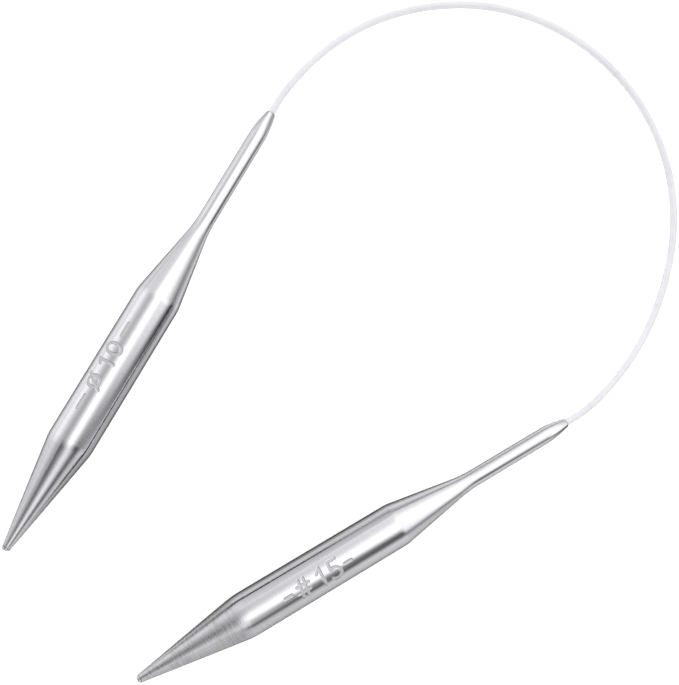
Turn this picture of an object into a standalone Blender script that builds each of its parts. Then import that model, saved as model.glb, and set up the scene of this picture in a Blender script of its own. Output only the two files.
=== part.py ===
"""A fixed circular knitting needle, 10 mm, lying relaxed on a table.

Two hollow steel needles, each swaged from one tube to a blunt point in front and to a thin neck behind,
joined by one nylon cable. The cable's ends are crimped in ferrules that turn freely inside the necks.

Metres, +Z up. The origin is at the middle of the two needles, on the table. +Y runs from the points to the
cable's loop, and the needles lie symmetrically about the plane X = 0.
"""

import math

import bmesh
import bpy
from mathutils import Matrix, Vector

MM = 0.001

# Needle: distances run along the axis from the very point
NEEDLE_LENGTH = 110.0 * MM
BARREL_RADIUS = 5.0 * MM
CONE_END = 25.4 * MM
BARREL_END = {"left": 61.5 * MM, "right": 64.3 * MM}
SHOULDER_LENGTH = 18.3 * MM
NECK_RADIUS = 1.9 * MM
ROUNDING_LENGTH = 6.0 * MM
MOUTH_RADIUS = 1.05 * MM
MOUTH_BORE = 0.9 * MM
MOUTH_BORE_LENGTH = 3.0 * MM
WALL = 0.6 * MM
NECK_BORE = 1.4 * MM
SIDES = 40

# Point plug: a domed nose in front of the tube, on a spigot inside it
NOSE_RADIUS = 0.95 * MM
NOSE_FLAT = 0.45 * MM
NOSE_LENGTH = 0.65 * MM
NOSE_GAP = 0.1 * MM
SPIGOT_RADIUS = 0.5 * MM
SPIGOT_LENGTH = 5.0 * MM
TIP_BORE = 0.7 * MM
TIP_BORE_LENGTH = 6.0 * MM

# Ferrule crimped on each cable end, held behind the neck's rounded mouth
FERRULE_RADIUS = 1.2 * MM
FERRULE_BORE = 0.9 * MM
FERRULE_LENGTH = 16.0 * MM
FERRULE_SETBACK = 6.5 * MM
FERRULE_FLARE = 0.25 * MM

# Layout of the needles
HALF_SPLAY = math.radians(15.25)
AXIS_HEIGHT = BARREL_RADIUS * math.cos(math.pi / SIDES)

# Cable: distances run along it from the left needle's mouth
CABLE_DIAMETER = 1.65 * MM
CABLE_LENGTH = 197.0 * MM
CABLE_INSIDE = 24.0 * MM
CABLE_REST_HEIGHT = CABLE_DIAMETER / 2 + 0.05 * MM
STRAIGHT_LEAD = 2.0 * MM
BEND_START = 2.0 * MM
BEND_WAVES = (0.786, 0.026, 0.071, 0.085)
END_BEND_LEFT = 1.52
END_BEND_RIGHT = 3.0
END_BEND_REACH = 2.5 * MM
DESCENT_LENGTH = 48.0 * MM
POINT_SPACING = 4.0 * MM

# Where the cable is parted for its hinges, from each mouth
LIFT_HINGE = 3.5 * MM
FIRST_LINK = 7.0 * MM
FLEX_PER_SIDE = 3
HINGE_GAP = 0.45 * MM

STEEL = (0.62, 0.63, 0.64, 1.0)
CABLE_WHITE = (0.88, 0.88, 0.92, 1.0)
FERRULE_METAL = (0.72, 0.73, 0.74, 1.0)


def smooth(u):
    u = min(max(u, 0.0), 1.0)
    return u * u * (3 - 2 * u)


def clear_scene():
    for obj in list(bpy.data.objects):
        bpy.data.objects.remove(obj, do_unlink=True)


def make_material(name, colour, metallic, roughness):
    mat = bpy.data.materials.new(name)
    mat.use_nodes = True
    bsdf = mat.node_tree.nodes["Principled BSDF"]
    bsdf.inputs["Base Color"].default_value = colour
    bsdf.inputs["Metallic"].default_value = metallic
    bsdf.inputs["Roughness"].default_value = roughness
    return mat


# ---------------------------------------------------------------- the cable's route


def cable_curvature(s):
    """Relative curvature: none in the straight leads, more where the cable leaves each of them, and in
    between a slow rise to the middle of the loop that is a little uneven, as a cable lies."""
    t = min(s, CABLE_LENGTH - s)
    bend = 1.0
    for i, wave in enumerate(BEND_WAVES):
        bend += wave * math.sin((i + 1) * math.pi * s / CABLE_LENGTH)
    for size, along in ((END_BEND_LEFT, s), (END_BEND_RIGHT, CABLE_LENGTH - s)):
        off = (along - STRAIGHT_LEAD - END_BEND_REACH) / END_BEND_REACH
        bend += size * math.exp(-(off**2))
    return smooth((t - STRAIGHT_LEAD) / BEND_START) * bend


def cable_height(s):
    """Level at the mouths, then down to the table in one slow curve."""
    t = min(s, CABLE_LENGTH - s)
    drop = AXIS_HEIGHT - CABLE_REST_HEIGHT
    return AXIS_HEIGHT - drop * smooth((t - STRAIGHT_LEAD) / DESCENT_LENGTH)


class Route:
    """The cable's centre line, integrated from its curvature. It starts along the left needle and ends
    along the right one, so it turns through 180 degrees and both needles' splay."""

    STEPS = 3940

    def __init__(self):
        n = self.STEPS
        ds = CABLE_LENGTH / n
        bend = [cable_curvature((i + 0.5) * ds) * ds for i in range(n)]
        turn = (math.pi + 2 * HALF_SPLAY) / sum(bend)
        heading = math.pi / 2 + HALF_SPLAY
        x = y = 0.0
        self.xs, self.ys, self.headings = [x], [y], [heading]
        for b in bend:
            middle = heading - turn * b / 2
            heading -= turn * b
            x += math.cos(middle) * ds
            y += math.sin(middle) * ds
            self.xs.append(x)
            self.ys.append(y)
            self.headings.append(heading)
        self.ds = ds
        half = self.xs[-1] / 2
        self.xs = [v - half for v in self.xs]

    def plan(self, s):
        """(x, y, heading) at s. Outside the free length it goes on straight, into the needle."""
        if s <= 0:
            h = self.headings[0]
            return self.xs[0] + s * math.cos(h), self.ys[0] + s * math.sin(h), h
        if s >= CABLE_LENGTH:
            h, over = self.headings[-1], s - CABLE_LENGTH
            return (
                self.xs[-1] + over * math.cos(h),
                self.ys[-1] + over * math.sin(h),
                h,
            )
        u = s / self.ds
        i = min(int(u), self.STEPS - 1)
        f = u - i
        mix = lambda v: v[i] + (v[i + 1] - v[i]) * f
        return mix(self.xs), mix(self.ys), mix(self.headings)

    def point(self, s):
        x, y, _ = self.plan(s)
        return Vector((x, y + MOUTH_Y, cable_height(min(max(s, 0.0), CABLE_LENGTH))))


def mouth_y():
    """Y of the mouths that puts the middle of the two needles at Y = 0: the point's flat reaches a little
    less far back than the mouth's rim reaches forward."""
    rim = MOUTH_RADIUS * math.sin(HALF_SPLAY)
    nose = NOSE_FLAT * math.sin(HALF_SPLAY)
    return (NEEDLE_LENGTH * math.cos(HALF_SPLAY) + nose - rim) / 2


MOUTH_Y = mouth_y()


# ---------------------------------------------------------------- turned pieces


def turned(name, profile, sides, material, closed_profile=True):
    """A turned body from its section, a list of (distance along the axis, radius). A closed section makes a
    tube, and an open one that starts and ends on the axis makes a solid."""
    bm = bmesh.new()
    rings = []
    for along, radius in profile:
        if radius == 0.0:
            rings.append([bm.verts.new((0, 0, along))])
            continue
        ring = []
        for k in range(sides):
            a = 2 * math.pi * (k + 0.5) / sides
            ring.append(
                bm.verts.new((radius * math.cos(a), radius * math.sin(a), along))
            )
        rings.append(ring)
    pairs = list(zip(rings, rings[1:]))
    if closed_profile:
        pairs.append((rings[-1], rings[0]))
    for first, second in pairs:
        for k in range(sides):
            j = (k + 1) % sides
            corners = [first[k % len(first)], first[j % len(first)]]
            corners += [second[j % len(second)], second[k % len(second)]]
            unique = list(dict.fromkeys(corners))
            bm.faces.new(unique)
    bmesh.ops.recalc_face_normals(bm, faces=bm.faces)
    mesh = bpy.data.meshes.new(name)
    bm.to_mesh(mesh)
    bm.free()
    mesh.shade_smooth()
    mesh.set_sharp_from_angle(angle=math.radians(5.0 + 360.0 / sides))
    mesh.materials.append(material)
    obj = bpy.data.objects.new(name, mesh)
    bpy.context.collection.objects.link(obj)
    return obj


def rounding(back):
    """Radius of the neck's rounded end, at a distance back from the mouth."""
    u = min(max(back / ROUNDING_LENGTH, 0.0), 1.0)
    return MOUTH_RADIUS + (NECK_RADIUS - MOUTH_RADIUS) * (1 - (1 - u) ** 1.7)


def shell_profile(side):
    barrel_end = BARREL_END[side]
    neck_start = barrel_end + SHOULDER_LENGTH
    tip = NOSE_LENGTH + NOSE_GAP
    end = NEEDLE_LENGTH
    outside = [
        (tip, NOSE_RADIUS + 0.02 * MM),
        (CONE_END, BARREL_RADIUS),
        (barrel_end, BARREL_RADIUS),
        (neck_start, NECK_RADIUS),
    ]
    steps = 8
    for i in range(steps + 1):
        back = ROUNDING_LENGTH * (1 - i / steps) ** 1.3
        outside.append((end - back, rounding(back)))
    inside = [
        (end, MOUTH_BORE),
        (end - MOUTH_BORE_LENGTH, MOUTH_BORE),
        (end - ROUNDING_LENGTH, NECK_BORE),
        (neck_start + 1.0 * MM, NECK_BORE),
        (barrel_end - 0.5 * MM, BARREL_RADIUS - WALL),
        (CONE_END + 0.5 * MM, BARREL_RADIUS - WALL),
        (tip + TIP_BORE_LENGTH, TIP_BORE),
        (tip, TIP_BORE),
    ]
    return outside + inside


def plug_profile():
    nose = [(0.0, 0.0), (0.0, NOSE_FLAT)]
    steps = 5
    for i in range(1, steps + 1):
        a = math.pi / 2 * i / steps
        nose.append(
            (
                NOSE_LENGTH * (1 - math.cos(a)),
                NOSE_FLAT + (NOSE_RADIUS - NOSE_FLAT) * math.sin(a),
            )
        )
    tail = NOSE_LENGTH + SPIGOT_LENGTH
    return nose + [
        (NOSE_LENGTH, SPIGOT_RADIUS),
        (tail - 0.3 * MM, SPIGOT_RADIUS),
        (tail, SPIGOT_RADIUS - 0.2 * MM),
        (tail, 0.0),
    ]


def ferrule_profile():
    """A crimped sleeve, nipped in at its middle, with its back edge flared."""
    back = NEEDLE_LENGTH - FERRULE_SETBACK - FERRULE_LENGTH
    front = NEEDLE_LENGTH - FERRULE_SETBACK
    third = FERRULE_LENGTH / 3
    nip = 0.12 * MM
    return [
        (back, FERRULE_RADIUS - 0.1 * MM),
        (back + 0.3 * MM, FERRULE_RADIUS),
        (back + third * 0.8, FERRULE_RADIUS),
        (back + third, FERRULE_RADIUS - nip),
        (front - third, FERRULE_RADIUS - nip),
        (front - third * 0.8, FERRULE_RADIUS),
        (front - 0.3 * MM, FERRULE_RADIUS),
        (front, FERRULE_RADIUS - 0.1 * MM),
        (front, FERRULE_BORE),
        (back + FERRULE_FLARE, FERRULE_BORE),
        (back, FERRULE_BORE + 0.1 * MM),
    ]


def needle_frame(side, route):
    """A matrix with the point at its origin and +Z along the needle towards its neck, turned so that a
    facet of the barrel faces the table."""
    s = 0.0 if side == "left" else CABLE_LENGTH
    x, y, heading = route.plan(s)
    if side == "right":
        heading += math.pi
    along = Vector((math.cos(heading), math.sin(heading), 0.0))
    mouth = Vector((x, y + MOUTH_Y, AXIS_HEIGHT))
    up = Vector((0, 0, 1))
    across = up.cross(along)
    frame = Matrix((up, across, along)).transposed().to_4x4()
    frame.translation = mouth - along * NEEDLE_LENGTH
    return frame


# ---------------------------------------------------------------- the cable's pieces


def cable_piece(name, route, start, end, origin, material):
    """One stretch of the cable, as a round tube with filled ends, and its origin on its own hinge."""
    count = max(2, math.ceil((end - start) / POINT_SPACING) + 1)
    curve = bpy.data.curves.new(name, "CURVE")
    curve.dimensions = "3D"
    curve.bevel_depth = CABLE_DIAMETER / 2
    curve.bevel_resolution = 2
    curve.use_fill_caps = True
    spline = curve.splines.new("POLY")
    spline.points.add(count - 1)
    for i in range(count):
        p = route.point(start + (end - start) * i / (count - 1)) - origin
        spline.points[i].co = (p.x, p.y, p.z, 1.0)
    spline.use_smooth = True
    curve.materials.append(material)
    obj = bpy.data.objects.new(name, curve)
    obj.location = origin
    bpy.context.collection.objects.link(obj)
    return obj


def partings():
    """Where the left half of the cable is parted, from the mouth to the middle of the loop. Past the first
    few millimetres the cable is six equal links, and each has its hinge in its middle."""
    link = (CABLE_LENGTH / 2 - FIRST_LINK) / FLEX_PER_SIDE
    return [LIFT_HINGE] + [FIRST_LINK + link * (i + 0.5) for i in range(FLEX_PER_SIDE)]


def build():
    clear_scene()
    steel = make_material("needle_steel", STEEL, 1.0, 0.28)
    bright = make_material("nose_steel", STEEL, 1.0, 0.2)
    crimp = make_material("ferrule_metal", FERRULE_METAL, 1.0, 0.35)
    nylon = make_material("cable_nylon", CABLE_WHITE, 0.0, 0.35)
    route = Route()

    for side in ("left", "right"):
        frame = needle_frame(side, route)
        shell = turned(f"{side}_needle_shell", shell_profile(side), SIDES, steel)
        plug = turned(f"{side}_point_plug", plug_profile(), 24, bright, False)
        ferrule = turned(f"{side}_cable_ferrule", ferrule_profile(), 24, crimp)
        for obj in (shell, plug, ferrule):
            obj.matrix_world = frame

    cuts = partings()
    half = HINGE_GAP / 2
    last = len(cuts) - 1
    for side in ("left", "right"):
        # along measures from this side's own mouth, towards the middle of the loop
        at = (lambda t: t) if side == "left" else (lambda t: CABLE_LENGTH - t)
        stretch = lambda a, b: (min(at(a), at(b)), max(at(a), at(b)))
        lo, hi = stretch(-CABLE_INSIDE, cuts[0] - half)
        cable_piece(
            f"cable_{side}_end", route, lo, hi, route.point(at(cuts[0])), nylon
        )
        for i in range(last):
            lo, hi = stretch(cuts[i] + half, cuts[i + 1] - half)
            cable_piece(
                f"cable_{side}_{last - i}",
                route,
                lo,
                hi,
                route.point(at(cuts[i + 1])),
                nylon,
            )
    cable_piece(
        "cable_middle",
        route,
        cuts[-1] + half,
        CABLE_LENGTH - cuts[-1] - half,
        route.point(CABLE_LENGTH / 2),
        nylon,
    )
    bpy.context.view_layer.update()


build()
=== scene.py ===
import math

import bmesh
import bpy
import numpy as np
from mathutils import Matrix, Vector


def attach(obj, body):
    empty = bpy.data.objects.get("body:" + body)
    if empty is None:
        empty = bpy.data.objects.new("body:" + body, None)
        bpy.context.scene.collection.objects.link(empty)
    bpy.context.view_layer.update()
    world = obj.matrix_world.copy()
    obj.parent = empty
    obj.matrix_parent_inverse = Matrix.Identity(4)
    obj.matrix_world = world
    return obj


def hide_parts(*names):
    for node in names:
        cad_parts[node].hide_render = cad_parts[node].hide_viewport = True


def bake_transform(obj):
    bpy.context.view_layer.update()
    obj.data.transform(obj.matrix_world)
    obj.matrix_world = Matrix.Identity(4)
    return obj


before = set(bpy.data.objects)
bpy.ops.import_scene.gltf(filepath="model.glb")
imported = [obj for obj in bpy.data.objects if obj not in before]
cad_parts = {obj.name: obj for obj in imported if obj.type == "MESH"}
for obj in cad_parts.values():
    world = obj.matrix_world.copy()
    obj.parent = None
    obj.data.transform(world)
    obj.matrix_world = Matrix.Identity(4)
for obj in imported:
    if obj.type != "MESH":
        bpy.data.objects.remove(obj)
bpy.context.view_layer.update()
SCENE = bpy.context.scene
MM = 0.001

# ---------------------------------------------------------------- sizes, as in the CAD

NEEDLE_LENGTH = 110.0 * MM
BARREL_RADIUS = 5.0 * MM
CONE_END = 25.4 * MM
BARREL_END = {"left": 61.5 * MM, "right": 64.3 * MM}
SHOULDER_LENGTH = 18.3 * MM
NECK_RADIUS = 1.9 * MM
ROUNDING_LENGTH = 6.0 * MM
MOUTH_RADIUS = 1.05 * MM
MOUTH_BORE = 0.9 * MM
MOUTH_BORE_LENGTH = 3.0 * MM
WALL = 0.6 * MM
NECK_BORE = 1.4 * MM
NOSE_RADIUS = 0.95 * MM
NOSE_FLAT = 0.45 * MM
NOSE_LENGTH = 0.65 * MM
NOSE_GAP = 0.1 * MM
SPIGOT_RADIUS = 0.5 * MM
SPIGOT_LENGTH = 5.0 * MM
TIP_BORE = 0.7 * MM
TIP_BORE_LENGTH = 6.0 * MM
FERRULE_RADIUS = 1.2 * MM
FERRULE_BORE = 0.9 * MM
FERRULE_LENGTH = 16.0 * MM
FERRULE_SETBACK = 6.5 * MM
FERRULE_FLARE = 0.25 * MM
HALF_SPLAY = math.radians(15.25)
SIDES = 40
AXIS_HEIGHT = BARREL_RADIUS * math.cos(math.pi / SIDES)

CABLE_DIAMETER = 1.65 * MM
CABLE_LENGTH = 197.0 * MM
CABLE_INSIDE = 24.0 * MM
CABLE_REST_HEIGHT = CABLE_DIAMETER / 2 + 0.05 * MM
STRAIGHT_LEAD = 2.0 * MM
BEND_START = 2.0 * MM
BEND_WAVES = (0.786, 0.026, 0.071, 0.085)
END_BEND_LEFT = 1.52
END_BEND_RIGHT = 3.0
END_BEND_REACH = 2.5 * MM
DESCENT_LENGTH = 48.0 * MM
LIFT_HINGE = 3.5 * MM
FIRST_LINK = 7.0 * MM
FLEX_PER_SIDE = 3
LINK = (CABLE_LENGTH / 2 - FIRST_LINK) / FLEX_PER_SIDE


def smooth(u):
    u = min(max(u, 0.0), 1.0)
    return u * u * (3 - 2 * u)


# ---------------------------------------------------------------- the cable's route, as in the CAD


def cable_curvature(s):
    """Relative curvature: none in the straight leads, more where the cable leaves each of them, and in
    between a slow rise to the middle of the loop that is a little uneven, as a cable lies."""
    t = min(s, CABLE_LENGTH - s)
    bend = 1.0
    for i, wave in enumerate(BEND_WAVES):
        bend += wave * math.sin((i + 1) * math.pi * s / CABLE_LENGTH)
    for size, along in ((END_BEND_LEFT, s), (END_BEND_RIGHT, CABLE_LENGTH - s)):
        off = (along - STRAIGHT_LEAD - END_BEND_REACH) / END_BEND_REACH
        bend += size * math.exp(-(off**2))
    return smooth((t - STRAIGHT_LEAD) / BEND_START) * bend


def cable_height(s):
    t = min(s, CABLE_LENGTH - s)
    drop = AXIS_HEIGHT - CABLE_REST_HEIGHT
    return AXIS_HEIGHT - drop * smooth((t - STRAIGHT_LEAD) / DESCENT_LENGTH)


class Route:
    STEPS = 3940

    def __init__(self):
        n = self.STEPS
        ds = CABLE_LENGTH / n
        bend = [cable_curvature((i + 0.5) * ds) * ds for i in range(n)]
        turn = (math.pi + 2 * HALF_SPLAY) / sum(bend)
        heading = math.pi / 2 + HALF_SPLAY
        x = y = 0.0
        self.xs, self.ys, self.headings = [x], [y], [heading]
        for b in bend:
            middle = heading - turn * b / 2
            heading -= turn * b
            x += math.cos(middle) * ds
            y += math.sin(middle) * ds
            self.xs.append(x)
            self.ys.append(y)
            self.headings.append(heading)
        self.ds = ds
        half = self.xs[-1] / 2
        self.xs = [v - half for v in self.xs]

    def plan(self, s):
        if s <= 0:
            h = self.headings[0]
            return self.xs[0] + s * math.cos(h), self.ys[0] + s * math.sin(h), h
        if s >= CABLE_LENGTH:
            h, over = self.headings[-1], s - CABLE_LENGTH
            return (
                self.xs[-1] + over * math.cos(h),
                self.ys[-1] + over * math.sin(h),
                h,
            )
        u = s / self.ds
        i = min(int(u), self.STEPS - 1)
        f = u - i
        mix = lambda v: v[i] + (v[i + 1] - v[i]) * f
        return mix(self.xs), mix(self.ys), mix(self.headings)

    def point(self, s):
        x, y, _ = self.plan(s)
        return Vector((x, y + MOUTH_Y, cable_height(min(max(s, 0.0), CABLE_LENGTH))))


def mouth_y():
    rim = MOUTH_RADIUS * math.sin(HALF_SPLAY)
    nose = NOSE_FLAT * math.sin(HALF_SPLAY)
    return (NEEDLE_LENGTH * math.cos(HALF_SPLAY) + nose - rim) / 2


MOUTH_Y = mouth_y()
ROUTE = Route()


def needle_frame(side):
    """The point at the origin, and +Z along the needle towards its neck."""
    x, y, heading = ROUTE.plan(0.0 if side == "left" else CABLE_LENGTH)
    if side == "right":
        heading += math.pi
    along = Vector((math.cos(heading), math.sin(heading), 0.0))
    mouth = Vector((x, y + MOUTH_Y, AXIS_HEIGHT))
    up = Vector((0, 0, 1))
    across = up.cross(along)
    made = Matrix((up, across, along)).transposed().to_4x4()
    made.translation = mouth - along * NEEDLE_LENGTH
    return made


# ---------------------------------------------------------------- camera

CAMERA_TARGET = Vector((-1.311 * MM, 28.139 * MM, 4.974 * MM))
CAMERA_BACK = Vector((-0.0682, -0.1439, 0.9872)).normalized()
CAMERA_UP = Vector((-0.7125, 0.7017, 0.0))
CAMERA_DISTANCE = 210.0 * MM


def make_camera():
    data = bpy.data.cameras.new("camera")
    data.lens = 49.56
    data.sensor_width = 36.0
    data.sensor_fit = "AUTO"
    data.clip_start = 0.005
    data.clip_end = 20.0
    cam = bpy.data.objects.new("camera", data)
    SCENE.collection.objects.link(cam)
    right = CAMERA_UP.cross(CAMERA_BACK).normalized()
    up = CAMERA_BACK.cross(right)
    made = Matrix((right, up, CAMERA_BACK)).transposed().to_4x4()
    made.translation = CAMERA_TARGET + CAMERA_BACK * CAMERA_DISTANCE
    cam.matrix_world = made
    SCENE.camera = cam


make_camera()

# ---------------------------------------------------------------- materials


class Nodes:
    """Small helper for node trees: each call adds a node and links or sets its inputs."""

    def __init__(self, name):
        self.mat = bpy.data.materials.new(name)
        self.mat.use_nodes = True
        self.tree = self.mat.node_tree
        self.bsdf = self.tree.nodes["Principled BSDF"]

    def put(self, node, key, value):
        socket = node.inputs[key]
        if isinstance(value, bpy.types.NodeSocket):
            self.tree.links.new(value, socket)
        else:
            socket.default_value = value

    def add(self, kind, inputs=(), **settings):
        node = self.tree.nodes.new(kind)
        for key, value in settings.items():
            setattr(node, key, value)
        for key, value in dict(inputs).items():
            self.put(node, key, value)
        return node

    def math(self, operation, a, b=0.0, clamp=False):
        node = self.add(
            "ShaderNodeMath", {0: a, 1: b}, operation=operation, use_clamp=clamp
        )
        return node.outputs[0]

    def ramp(self, value, low, high, to_low=0.0, to_high=1.0, interpolation="LINEAR"):
        node = self.add(
            "ShaderNodeMapRange",
            {0: value, 1: low, 2: high, 3: to_low, 4: to_high},
            interpolation_type=interpolation,
            clamp=True,
        )
        return node.outputs[0]

    def set(self, **values):
        for key, value in values.items():
            self.put(self.bsdf, key.replace("_", " "), value)


def cable_material():
    """Extruded nylon: milky, softly glossy, with faint draw lines along it and small waxy patches."""
    n = Nodes("cable_nylon")
    where = n.add("ShaderNodeTexCoord").outputs["Object"]
    cloud = n.add(
        "ShaderNodeTexNoise", {"Vector": where, "Scale": 160.0, "Detail": 3.0}
    ).outputs["Fac"]
    fine = n.add(
        "ShaderNodeTexNoise", {"Vector": where, "Scale": 2600.0, "Detail": 2.0}
    ).outputs["Fac"]
    # the lay: around the cable as a circle, and slowly along it
    lay = n.add("ShaderNodeAttribute", attribute_name="lay").outputs["Vector"]
    lines = n.add(
        "ShaderNodeTexNoise", {"Vector": lay, "Scale": 5.0, "Detail": 3.0}
    ).outputs["Fac"]
    tone = n.math("ADD", n.math("MULTIPLY", cloud, 0.6), n.math("MULTIPLY", lines, 0.4))
    colour = n.add(
        "ShaderNodeMix",
        {
            0: n.ramp(tone, 0.3, 0.7),
            6: (0.725, 0.723, 0.757, 1),
            7: (0.795, 0.793, 0.827, 1),
        },
        data_type="RGBA",
    ).outputs[2]
    n.put(n.bsdf, "Base Color", colour)
    n.put(n.bsdf, "Roughness", n.ramp(tone, 0.3, 0.7, 0.18, 0.3))
    n.set(IOR=1.53, Subsurface_Weight=0.35, Subsurface_Scale=0.0006)
    n.bsdf.inputs["Subsurface Radius"].default_value = (1.0, 1.0, 1.1)
    height = n.math("ADD", n.math("MULTIPLY", lines, 2.5), n.math("MULTIPLY", fine, 0.5))
    bump = n.add(
        "ShaderNodeBump", {"Height": height, "Strength": 1.0, "Distance": 0.01 * MM}
    )
    n.put(n.bsdf, "Normal", bump.outputs[0])
    return n.mat


# ---------------------------------------------------------------- pieces


def make_object(name, bm_or_mesh, material):
    if isinstance(bm_or_mesh, bpy.types.Mesh):
        mesh = bm_or_mesh
    else:
        mesh = bpy.data.meshes.new(name)
        bm_or_mesh.to_mesh(mesh)
        bm_or_mesh.free()
    mesh.materials.append(material)
    obj = bpy.data.objects.new(name, mesh)
    SCENE.collection.objects.link(obj)
    return obj


def cable_tube(name, start, end, material, sides=28, step=0.5 * MM):
    """A closed round tube along the route, and the points that it follows."""
    count = max(2, round((end - start) / step) + 1)
    bm = bmesh.new()
    rings, path, lay = [], [], []
    for i in range(count):
        s = start + (end - start) * i / (count - 1)
        p = ROUTE.point(s)
        path.append(tuple(p))
        along = (ROUTE.point(s + 0.05 * MM) - ROUTE.point(s - 0.05 * MM)).normalized()
        across = Vector((0, 0, 1)).cross(along).normalized()
        up = along.cross(across)
        ring = []
        for k in range(sides):
            a = 2 * math.pi * k / sides
            offset = across * math.cos(a) + up * math.sin(a)
            ring.append(bm.verts.new(p + offset * CABLE_DIAMETER / 2))
            lay += [math.cos(a), math.sin(a), s / (14 * MM)]
        rings.append(ring)
    for first, second in zip(rings, rings[1:]):
        for k in range(sides):
            j = (k + 1) % sides
            bm.faces.new((first[k], first[j], second[j], second[k]))
    bm.faces.new(list(reversed(rings[0])))
    bm.faces.new(rings[-1])
    bmesh.ops.recalc_face_normals(bm, faces=bm.faces)
    mesh = bpy.data.meshes.new(name)
    bm.to_mesh(mesh)
    bm.free()
    mesh.attributes.new("lay", "FLOAT_VECTOR", "POINT").data.foreach_set("vector", lay)
    mesh.shade_smooth()
    mesh.set_sharp_from_angle(angle=math.radians(40))
    return make_object(name, mesh, material), path


def make_cables():
    nylon = cable_material()
    for side in ("left", "right"):
        at = (lambda t: t) if side == "left" else (lambda t: CABLE_LENGTH - t)
        cuts = [-CABLE_INSIDE, FIRST_LINK] + [
            FIRST_LINK + LINK * (i + 1) for i in range(FLEX_PER_SIDE)
        ]
        bodies = [f"cable_{side}_end"]
        bodies += [f"cable_{side}_{i}" for i in range(FLEX_PER_SIDE, 0, -1)]
        bodies.append("cable_middle")
        for i, (a, b) in enumerate(zip(cuts, cuts[1:])):
            lo, hi = sorted((at(a), at(b)))
            name = f"cable_cover_{side}_{i}"
            obj, path = cable_tube(name, lo, hi, nylon)
            begin = ROUTE.point(at(0.0 if i == 0 else a))
            stop = ROUTE.point(at(b))
            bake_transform(obj)
            if i == 0:
                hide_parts(f"cable_{side}_end")
            elif i < FLEX_PER_SIDE:
                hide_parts(f"cable_{side}_{FLEX_PER_SIDE + 1 - i}")
            else:
                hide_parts(f"cable_{side}_1", "cable_middle")
            ROUTE.point(at(0.0 if i == 0 else a))
            path if at(a) < at(b) else list(reversed(path))


def revolve(name, profile, angles, material, closed=True, shift=None):
    """A turned body around +Z from its section, a list of (distance, radius). A closed section makes a tube,
    and an open one that starts and ends on the axis makes a solid. shift(z, angle) lowers the surface."""
    angles = np.asarray(angles)
    count = len(angles)
    points, rings = [], []
    for along, radius in profile:
        if radius == 0.0:
            rings.append([len(points)])
            points.append((0.0, 0.0, along))
            continue
        rings.append(list(range(len(points), len(points) + count)))
        for a in angles:
            points.append((radius * math.cos(a), radius * math.sin(a), along))
    points = np.array(points)
    faces = []
    pairs = list(zip(rings, rings[1:]))
    if closed:
        pairs.append((rings[-1], rings[0]))
    for first, second in pairs:
        for k in range(count):
            j = (k + 1) % count
            if len(first) == 1:
                faces.append((first[0], second[j], second[k]))
            elif len(second) == 1:
                faces.append((first[k], first[j], second[0]))
            else:
                faces.append((first[k], first[j], second[j], second[k]))
    depth = None
    if shift is not None:
        radius = np.hypot(points[:, 0], points[:, 1])
        angle = np.arctan2(points[:, 1], points[:, 0])
        depth, etch = shift(points[:, 2], angle, radius)
        scale = np.where(radius > 0, (radius - depth) / np.maximum(radius, 1e-9), 1.0)
        points[:, 0] *= scale
        points[:, 1] *= scale
    mesh = bpy.data.meshes.new(name)
    mesh.from_pydata(points.tolist(), [], faces)
    if shift is not None:
        attribute = mesh.attributes.new("etch", "FLOAT", "POINT")
        attribute.data.foreach_set("value", etch.astype(np.float32))
    bm = bmesh.new()
    bm.from_mesh(mesh)
    bmesh.ops.recalc_face_normals(bm, faces=bm.faces)
    bm.to_mesh(mesh)
    bm.free()
    mesh.shade_smooth()
    mesh.set_sharp_from_angle(angle=math.radians(38))
    return make_object(name, mesh, material)


def even(count, offset=0.0):
    return [2 * math.pi * (k + offset) / count for k in range(count)]


def rounding(back):
    u = min(max(back / ROUNDING_LENGTH, 0.0), 1.0)
    return MOUTH_RADIUS + (NECK_RADIUS - MOUTH_RADIUS) * (1 - (1 - u) ** 1.7)


def filleted(corners, reach, steps=6):
    """The corners of a section, each inner one rounded over a short reach."""
    out = [corners[0]]
    for i in range(1, len(corners) - 1):
        before, corner, after = (np.array(corners[j]) for j in (i - 1, i, i + 1))
        a = corner + (before - corner) / np.linalg.norm(before - corner) * reach[i]
        b = corner + (after - corner) / np.linalg.norm(after - corner) * reach[i]
        for k in range(steps + 1):
            t = k / steps
            p = (1 - t) ** 2 * a + 2 * t * (1 - t) * corner + t * t * b
            out.append((float(p[0]), float(p[1])))
    out.append(corners[-1])
    return out


def divided(points, zones):
    """The section with points added, so that no step is longer than its zone's: (from, to, step)."""
    out = [points[0]]
    for (z0, r0), (z1, r1) in zip(points, points[1:]):
        middle = (z0 + z1) / 2
        marks = [0.0, 1.0]
        for low, high, step in zones:
            for edge in (low, high):
                if min(z0, z1) < edge < max(z0, z1):
                    marks.append((edge - z0) / (z1 - z0))
        marks = sorted(marks)
        for m0, m1 in zip(marks, marks[1:]):
            middle = z0 + (z1 - z0) * (m0 + m1) / 2
            step = min([s for low, high, s in zones if low <= middle <= high] + [2.2 * MM])
            n = max(1, math.ceil(abs(z1 - z0) * (m1 - m0) / step))
            for k in range(1, n + 1):
                t = m0 + (m1 - m0) * k / n
                out.append((z0 + (z1 - z0) * t, r0 + (r1 - r0) * t))
    return out


# ---------------------------------------------------------------- size marks

STROKE = 0.56 * MM
GROOVE_DEPTH = 0.085 * MM
MARK_STEP = 0.085 * MM


def oval(x, y, rx, ry, start=0.0, stop=360.0, steps=28):
    return [
        (
            x + rx * math.cos(math.radians(start + (stop - start) * i / steps)),
            y + ry * math.sin(math.radians(start + (stop - start) * i / steps)),
        )
        for i in range(steps + 1)
    ]


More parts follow.
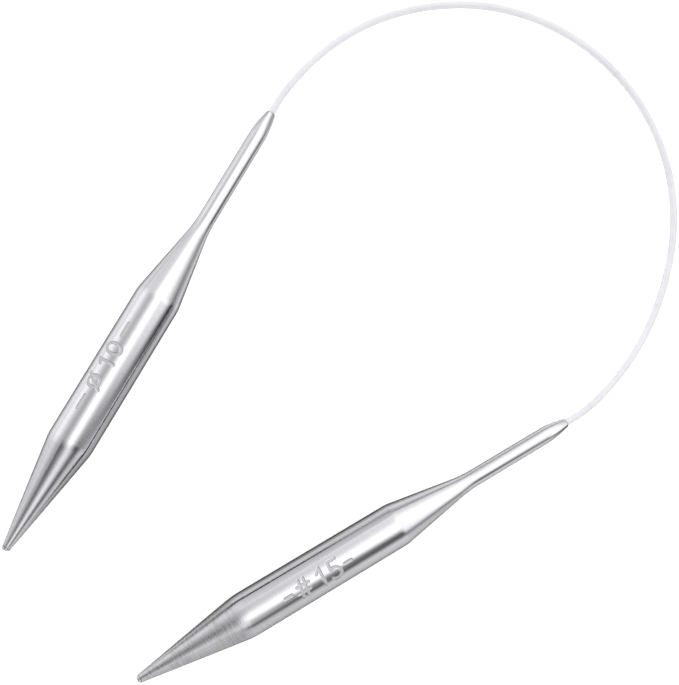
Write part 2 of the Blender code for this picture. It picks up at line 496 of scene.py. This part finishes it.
def glyph(kind):
    """(width, strokes) of one mark, in parts of its height."""
    if kind == "1":
        return 0.3, [[(0.0, 0.74), (0.25, 1.0), (0.25, 0.0)]]
    if kind == "0":
        return 0.6, [oval(0.3, 0.5, 0.3, 0.5)]
    if kind == "5":
        bowl = oval(0.27, 0.31, 0.31, 0.31, 128, -140)
        return 0.58, [[(0.54, 1.0), (0.11, 1.0), (0.08, 0.55)] + bowl]
    if kind == "diameter":
        return 0.8, [oval(0.4, 0.5, 0.33, 0.38), [(0.06, 0.0), (0.74, 1.0)]]
    if kind == "hash":
        return 0.72, [
            [(0.18, 0.04), (0.28, 0.96)],
            [(0.46, 0.04), (0.56, 0.96)],
            [(0.0, 0.33), (0.68, 0.33)],
            [(0.05, 0.67), (0.73, 0.67)],
        ]
    if kind == "long dash":
        return 0.8, [[(0.0, 0.5), (0.8, 0.5)]]
    return 0.4, [[(0.0, 0.5), (0.4, 0.5)]]


# what is marked, where it starts along the needle, its lower and upper angle, and the gaps in heights
MARKS = {
    "left": (
        ["long dash", "diameter", "1", "0", "long dash"],
        32.9 * MM,
        1.0,
        51.0,
        [0.5, 0.62, 0.46, 0.5],
    ),
    "right": (
        ["dash", "hash", "1", "5", "dash"],
        34.9 * MM,
        -31.0,
        24.0,
        [0.3, 0.5, 0.36, 0.3],
    ),
}


def mark_segments(side):
    """The mark's strokes as short straight segments on the unrolled barrel: (along, across)."""
    kinds, start, low, high, gaps = MARKS[side]
    foot = math.radians(low) * BARREL_RADIUS + STROKE / 2
    height = math.radians(high - low) * BARREL_RADIUS - STROKE
    segments, x = [], start + STROKE / 2
    for i, kind in enumerate(kinds):
        width, strokes = glyph(kind)
        for line in strokes:
            line = [(x + px * height, foot + py * height) for px, py in line]
            segments += list(zip(line, line[1:]))
        x += width * height + (gaps[i] * height if i < len(gaps) else 0.0)
    return np.array(segments), x + STROKE / 2


def mark_shift(side):
    segments, stop = mark_segments(side)
    _, start, low, high, _ = MARKS[side]
    margin = STROKE

    def shift(z, angle, radius):
        depth, etch = np.zeros(len(z)), np.zeros(len(z))
        across = angle * BARREL_RADIUS
        inside = (
            (z > start - margin)
            & (z < stop + margin)
            & (across > math.radians(low) * BARREL_RADIUS - margin)
            & (across < math.radians(high) * BARREL_RADIUS + margin)
            & (radius > BARREL_RADIUS - 0.1 * MM)
        )
        p = np.stack([z[inside], across[inside]], 1)
        best = np.full(len(p), 1.0)
        for a, b in segments:
            d = b - a
            t = np.clip(((p - a) @ d) / max(float(d @ d), 1e-18), 0, 1)
            best = np.minimum(best, np.linalg.norm(p - a - t[:, None] * d, axis=1))
        u = np.clip((best - (STROKE / 2 - 0.07 * MM)) / (0.14 * MM), 0, 1)
        cut = 1 - u * u * (3 - 2 * u)
        burr = np.exp(-(((best - STROKE / 2 - 0.11 * MM) / (0.06 * MM)) ** 2))
        depth[inside] = GROOVE_DEPTH * cut - 0.010 * MM * burr
        etch[inside] = cut
        return depth, etch

    return shift, start, stop


# ---------------------------------------------------------------- metal


def steel_material(name, satin_cone, colour=(0.6, 0.596, 0.622)):
    """Stainless steel, turned and polished: faint turning rings, soft clouding, speckle and hairline
    scratches, stronger on a satin cone, whose colour is also darkened with painted shade, and matt grooves
    with painted shade along their walls."""
    n = Nodes(name)
    where = n.add("ShaderNodeTexCoord").outputs["Object"]
    split = n.add("ShaderNodeSeparateXYZ", {0: where})
    x, y, z = split.outputs
    angle = n.math("ARCTAN2", y, x)
    # rings: noise along the needle that changes only slowly around it
    rings_at = n.add(
        "ShaderNodeCombineXYZ", {0: z, 1: n.math("MULTIPLY", angle, 0.00025), 2: 0.0}
    ).outputs[0]

    def noise(vector, scale, detail=2.0):
        return n.add(
            "ShaderNodeTexNoise", {"Vector": vector, "Scale": scale, "Detail": detail}
        ).outputs["Fac"]

    fine = noise(rings_at, 7000.0)
    rings = noise(rings_at, 2100.0, 3.0)
    cloud = noise(where, 260.0, 4.0)
    speckle = noise(where, 2700.0, 3.0)
    grain = noise(where, 9000.0)
    # hairline scratches along the needle
    long_at = n.add(
        "ShaderNodeMapping", {"Vector": where, "Scale": (2600.0, 2600.0, 60.0)}
    ).outputs[0]
    scratch = n.ramp(noise(long_at, 1.0, 3.0), 0.62, 0.72, 0.0, 1.0)
    cone = n.ramp(z, CONE_END - 1.2 * MM, CONE_END + 0.6 * MM, 1.0, 0.0)
    patchy = n.ramp(cloud, 0.35, 0.65, 0.7, 1.0)
    satin = n.math("MULTIPLY", n.math("MULTIPLY", cone, satin_cone), patchy)
    etch = n.add("ShaderNodeAttribute", attribute_name="etch").outputs["Fac"]
    rough = n.ramp(cloud, 0.3, 0.7, 0.06, 0.11)
    rough = n.math("ADD", rough, n.math("MULTIPLY", satin, 0.17))
    rough = n.math("ADD", rough, n.math("MULTIPLY", scratch, 0.05))
    rough = n.math("ADD", rough, n.ramp(speckle, 0.4, 0.7, 0.0, 0.03))
    rough = n.math("ADD", rough, n.math("MULTIPLY", etch, 0.42), clamp=True)
    shade = n.ramp(rings, 0.3, 0.7, 0.98, 1.02)
    shade = n.math("MULTIPLY", shade, n.ramp(speckle, 0.3, 0.7, 0.975, 1.025))
    shade = n.math("MULTIPLY", shade, n.ramp(grain, 0.25, 0.75, 0.98, 1.02))
    # painted shade: the satin cone's colour is darkened, on top of its rougher satin finish
    shade = n.math("SUBTRACT", shade, n.math("MULTIPLY", satin, 0.27))
    turned = n.ramp(noise(rings_at, 3200.0, 1.0), 0.36, 0.64, -0.085, 0.085)
    turned = n.math("MULTIPLY", turned, n.ramp(cloud, 0.42, 0.58, 0.25, 1.0))
    shade = n.math("ADD", shade, n.math("MULTIPLY", satin, turned))
    base = n.add(
        "ShaderNodeVectorMath",
        {0: colour, "Scale": shade},
        operation="SCALE",
    ).outputs[0]
    # painted shade: the colour darkens along the groove walls, where etch is half way
    wall = n.math("MULTIPLY", n.math("MULTIPLY", etch, n.math("SUBTRACT", 1.0, etch)), 4.0)
    painted_wall_shade = n.math("SUBTRACT", 1.0, n.math("MULTIPLY", wall, 0.45))
    bottom = n.add(
        "ShaderNodeVectorMath",
        {0: (0.53, 0.53, 0.535), "Scale": n.math("MULTIPLY", shade, painted_wall_shade)},
        operation="SCALE",
    ).outputs[0]
    etched = n.add(
        "ShaderNodeMix",
        {0: n.ramp(etch, 0.0, 0.5, 0.0, 0.9), 6: base, 7: bottom},
        data_type="RGBA",
    ).outputs[2]
    n.put(n.bsdf, "Base Color", etched)
    n.put(n.bsdf, "Metallic", n.ramp(etch, 0.0, 1.0, 1.0, 0.55))
    n.put(n.bsdf, "Roughness", rough)
    # heights in hundredths of a millimetre
    height = n.math("MULTIPLY", rings, n.math("ADD", 0.25, n.math("MULTIPLY", satin, 4.2)))
    height = n.math(
        "ADD", height, n.math("MULTIPLY", fine, n.math("ADD", 0.02, n.math("MULTIPLY", satin, 0.5)))
    )
    height = n.math(
        "ADD", height, n.math("MULTIPLY", speckle, n.math("ADD", 0.7, n.math("MULTIPLY", satin, 1.8)))
    )
    height = n.math("ADD", height, n.math("MULTIPLY", grain, n.math("MULTIPLY", etch, 0.8)))
    height = n.math("SUBTRACT", height, n.math("MULTIPLY", scratch, 0.03))
    bump = n.add(
        "ShaderNodeBump", {"Height": height, "Strength": 1.0, "Distance": 0.01 * MM}
    )
    n.put(n.bsdf, "Normal", bump.outputs[0])
    return n.mat


def ferrule_material():
    n = Nodes("ferrule_metal")
    where = n.add("ShaderNodeTexCoord").outputs["Object"]
    at = n.add("ShaderNodeMapping", {"Vector": where, "Scale": (900.0, 900.0, 6000.0)})
    lines = n.add(
        "ShaderNodeTexNoise", {"Vector": at.outputs[0], "Scale": 1.0, "Detail": 3.0}
    ).outputs["Fac"]
    n.put(n.bsdf, "Roughness", n.ramp(lines, 0.3, 0.7, 0.28, 0.42))
    colour = n.add(
        "ShaderNodeMix",
        {0: lines, 6: (0.66, 0.66, 0.67, 1), 7: (0.74, 0.74, 0.75, 1)},
        data_type="RGBA",
    ).outputs[2]
    n.put(n.bsdf, "Base Color", colour)
    n.set(Metallic=1.0)
    bump = n.add("ShaderNodeBump", {"Height": lines, "Strength": 0.4, "Distance": 0.000004})
    n.put(n.bsdf, "Normal", bump.outputs[0])
    return n.mat


CONE_BLEND = {"left": 1.1 * MM, "right": 1.7 * MM}


def shell_section(side, mark_from, mark_to):
    barrel_end = BARREL_END[side]
    neck_start = barrel_end + SHOULDER_LENGTH
    tip = NOSE_LENGTH + NOSE_GAP
    end = NEEDLE_LENGTH
    corners = [
        (tip + 0.06 * MM, NOSE_RADIUS + 0.02 * MM),
        (CONE_END, BARREL_RADIUS),
        (barrel_end, BARREL_RADIUS),
        (neck_start, NECK_RADIUS),
        (end - ROUNDING_LENGTH, NECK_RADIUS),
    ]
    reach = [0, CONE_BLEND[side], 0.7 * MM, 2.6 * MM, 0]
    outside = [(tip, NOSE_RADIUS - 0.03 * MM)] + filleted(corners, reach, 8)
    zones = [
        (mark_from - STROKE, mark_to + STROKE, MARK_STEP),
        (tip, tip + 3 * MM, 0.4 * MM),
    ]
    outside = divided(outside, zones)
    steps = 22
    for i in range(1, steps + 1):
        back = ROUNDING_LENGTH * (1 - i / steps) ** 1.3
        outside.append((end - back, rounding(back)))
    lip = 0.05 * MM
    outside[-1] = (end - lip, MOUTH_RADIUS)
    inside = [
        (end, MOUTH_RADIUS - lip),
        (end, MOUTH_BORE + 0.02 * MM),
        (end - 0.05 * MM, MOUTH_BORE),
        (end - MOUTH_BORE_LENGTH, MOUTH_BORE),
        (end - ROUNDING_LENGTH, NECK_BORE),
        (neck_start + 1.0 * MM, NECK_BORE),
        (barrel_end - 0.5 * MM, BARREL_RADIUS - WALL),
        (CONE_END + 0.5 * MM, BARREL_RADIUS - WALL),
        (tip + TIP_BORE_LENGTH, TIP_BORE),
        (tip, TIP_BORE),
    ]
    return outside + inside


def plug_section():
    nose = [(0.0, 0.0), (0.0, NOSE_FLAT * 0.5), (0.0, NOSE_FLAT * 0.9)]
    steps = 14
    for i in range(steps + 1):
        a = math.pi / 2 * i / steps
        nose.append(
            (
                0.012 * MM + (NOSE_LENGTH - 0.012 * MM) * (1 - math.cos(a)),
                NOSE_FLAT + (NOSE_RADIUS - NOSE_FLAT) * math.sin(a),
            )
        )
    tail = NOSE_LENGTH + SPIGOT_LENGTH
    return nose + [
        (NOSE_LENGTH + 0.03 * MM, NOSE_RADIUS - 0.03 * MM),
        (NOSE_LENGTH + 0.03 * MM, SPIGOT_RADIUS),
        (tail - 0.3 * MM, SPIGOT_RADIUS),
        (tail, SPIGOT_RADIUS - 0.2 * MM),
        (tail, 0.0),
    ]


def ferrule_section():
    back = NEEDLE_LENGTH - FERRULE_SETBACK - FERRULE_LENGTH
    front = NEEDLE_LENGTH - FERRULE_SETBACK
    third = FERRULE_LENGTH / 3
    nip = 0.12 * MM
    outside = [
        (back, FERRULE_RADIUS - 0.1 * MM),
        (back + 0.3 * MM, FERRULE_RADIUS),
        (back + third * 0.8, FERRULE_RADIUS),
        (back + third, FERRULE_RADIUS - nip),
        (front - third, FERRULE_RADIUS - nip),
        (front - third * 0.8, FERRULE_RADIUS),
        (front - 0.3 * MM, FERRULE_RADIUS),
        (front, FERRULE_RADIUS - 0.1 * MM),
    ]
    outside = filleted(outside, [0] + [0.12 * MM] * 6 + [0], 4)
    return outside + [
        (front, FERRULE_BORE),
        (back + FERRULE_FLARE, FERRULE_BORE),
        (back, FERRULE_BORE + 0.1 * MM),
    ]


def make_needles():
    nose_steel = steel_material("nose_steel", 0.0)
    crimp = ferrule_material()
    for side, satin in (("left", 0.25), ("right", 1.0)):
        made = needle_frame(side)
        shift, mark_from, mark_to = mark_shift(side)
        _, _, low, high, _ = MARKS[side]
        step = MARK_STEP / BARREL_RADIUS
        a0 = math.radians(low) - STROKE / BARREL_RADIUS
        a1 = math.radians(high) + STROKE / BARREL_RADIUS
        dense = max(2, math.ceil((a1 - a0) / step))
        coarse = math.ceil((2 * math.pi - (a1 - a0)) / math.radians(2.25))
        angles = [a0 + (a1 - a0) * i / dense for i in range(dense)]
        angles += [a1 + (2 * math.pi - (a1 - a0)) * i / coarse for i in range(coarse)]
        steel = steel_material(f"needle_steel_{side}", satin)
        shell = revolve(
            f"needle_{side}",
            shell_section(side, mark_from, mark_to),
            angles,
            steel,
            shift=shift,
        )
        plug = revolve(f"point_{side}", plug_section(), even(72), nose_steel, closed=False)
        ferrule = revolve(f"ferrule_{side}", ferrule_section(), even(56), crimp)
        for obj in (shell, plug, ferrule):
            obj.matrix_world = made
        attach(shell, f"{side}_needle")
        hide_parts(f"{side}_needle_shell")
        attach(plug, f"{side}_needle")
        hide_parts(f"{side}_point_plug")
        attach(ferrule, f"cable_{side}_end")
        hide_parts(f"{side}_cable_ferrule")


make_needles()
make_cables()

# ---------------------------------------------------------------- floor and light


def make_floor():
    """A softly glowing white sheet, which the polished metal mirrors as a pale glossy one, darkened near the
    needles by painted contact shade.
    """
    n = Nodes("floor_white")
    where = n.add("ShaderNodeTexCoord").outputs["Object"]
    cloud = n.add("ShaderNodeTexNoise", {"Vector": where, "Scale": 6.0, "Detail": 2.0})
    shade = n.ramp(cloud.outputs["Fac"], 0.3, 0.7, 0.985, 1.0)
    white = n.add("ShaderNodeVectorMath", {0: (0.9, 0.9, 0.9), "Scale": shade}, operation="SCALE")
    n.put(n.bsdf, "Base Color", white.outputs[0])
    n.set(Roughness=0.9, Specular_IOR_Level=0.0)
    n.set(Emission_Color=(1, 1, 1, 1), Emission_Strength=FLOOR_GLOW)
    # painted contact shade: the grey that the metal mirrors darkens with ambient occlusion near the needles
    open_sky = n.add("ShaderNodeAmbientOcclusion", {"Distance": 0.012}, samples=8)
    depth = n.ramp(open_sky.outputs["AO"], 0.68, 1.0, 0.03, FLOOR_GREY)
    tone = n.add("ShaderNodeCombineXYZ", {0: depth, 1: depth, 2: depth}).outputs[0]
    paper = n.add("ShaderNodeBsdfDiffuse", {"Color": tone})
    sheen = n.add("ShaderNodeBsdfGlossy", {"Color": tone, "Roughness": 0.15})
    grazing = n.add("ShaderNodeLayerWeight", {"Blend": 0.5}).outputs["Facing"]
    share = n.ramp(grazing, 0.15, 0.7, 0.15, 0.8)
    grey = n.add("ShaderNodeMixShader", {0: share, 1: paper.outputs[0], 2: sheen.outputs[0]})
    gloss = n.add("ShaderNodeLightPath").outputs["Is Glossy Ray"]
    mixed = n.add("ShaderNodeMixShader", {0: gloss, 1: n.bsdf.outputs[0], 2: grey.outputs[0]})
    out = n.tree.nodes["Material Output"]
    n.tree.links.new(mixed.outputs[0], out.inputs["Surface"])
    bm = bmesh.new()
    bmesh.ops.create_circle(bm, cap_ends=True, segments=96, radius=2.5)
    floor = make_object("floor", bm, n.mat)
    floor.location = (0, 0.03, -0.00003)


FLOOR_GLOW = 0.5
FLOOR_GREY = 0.92
# the studio, in directions across, up and towards the camera: each soft box or card has its middle, the
# direction it is measured along, its half widths along and across that, and its brightness
TENT = 0.47
SOFT_BOXES = [
    ((0.19, -0.09, 0.98), (0.98, -0.10, -0.20), 0.34, 0.94, 1.5),
    ((0.78, -0.06, 0.63), (0.58, 0.47, -0.67), 0.32, 0.92, 1.2),
    ((-0.80, 0.48, 0.36), (-0.60, -0.67, -0.44), 0.54, 0.45, 1.05),
    ((0.75, -0.48, 0.46), (0.52, -0.01, -0.86), 1.18, 0.19, -0.86),
    ((0.36, -0.70, 0.60), (0.92, 0.0, -0.40), 0.42, 0.17, -0.6),
]


def make_light():
    """A grey tent with three large soft boxes and two dark cards in it. What the camera sees behind the floor
    is plain."""
    world = bpy.data.worlds.new("tent")
    SCENE.world = world
    world.use_nodes = True
    tree = world.node_tree
    tree.nodes.clear()
    new, link = tree.nodes.new, tree.links.new
    right = CAMERA_UP.cross(CAMERA_BACK).normalized()
    up = CAMERA_BACK.cross(right)

    def turned(v):
        return (right * v[0] + up * v[1] + CAMERA_BACK * v[2]).normalized()

    def math_node(operation, a, b=None):
        node = new("ShaderNodeMath")
        node.operation = operation
        for socket, value in zip(node.inputs, (a, b)):
            if isinstance(value, bpy.types.NodeSocket):
                link(value, socket)
            elif value is not None:
                socket.default_value = value
        return node.outputs[0]

    def along(direction):
        node = new("ShaderNodeVectorMath")
        node.operation = "DOT_PRODUCT"
        node.inputs[1].default_value = direction
        link(where, node.inputs[0])
        return node.outputs["Value"]

    where = new("ShaderNodeTexCoord").outputs["Generated"]
    level = TENT
    for middle, axis, half_along, half_across, brightness in SOFT_BOXES:
        middle = turned(middle)
        axis = turned(axis)
        axis = (axis - middle * middle.dot(axis)).normalized()
        other = middle.cross(axis)
        p = math_node("DIVIDE", along(axis), half_along)
        q = math_node("DIVIDE", along(other), half_across)
        reach = math_node("ADD", math_node("MULTIPLY", p, p), math_node("MULTIPLY", q, q))
        soft = math_node("EXPONENT", math_node("MULTIPLY", reach, -1.0))
        facing = math_node("GREATER_THAN", along(middle), 0.0)
        part = math_node("MULTIPLY", math_node("MULTIPLY", soft, facing), brightness)
        level = math_node("ADD", level, part)
    level = math_node("MAXIMUM", level, 0.02)
    tent = new("ShaderNodeBackground")
    link(level, tent.inputs["Strength"])
    plain = new("ShaderNodeBackground")
    plain.inputs["Strength"].default_value = 1.0
    for background in (tent, plain):
        background.inputs["Color"].default_value = (1, 1, 1, 1)
    seen = new("ShaderNodeLightPath").outputs["Is Camera Ray"]
    mixed = new("ShaderNodeMixShader")
    link(seen, mixed.inputs[0])
    link(tent.outputs[0], mixed.inputs[1])
    link(plain.outputs[0], mixed.inputs[2])
    link(mixed.outputs[0], new("ShaderNodeOutputWorld").inputs[0])
    world.cycles.sampling_method = "MANUAL"
    world.cycles.sample_map_resolution = 1024


make_floor()
make_light()
SCENE.view_settings.view_transform = "Standard"
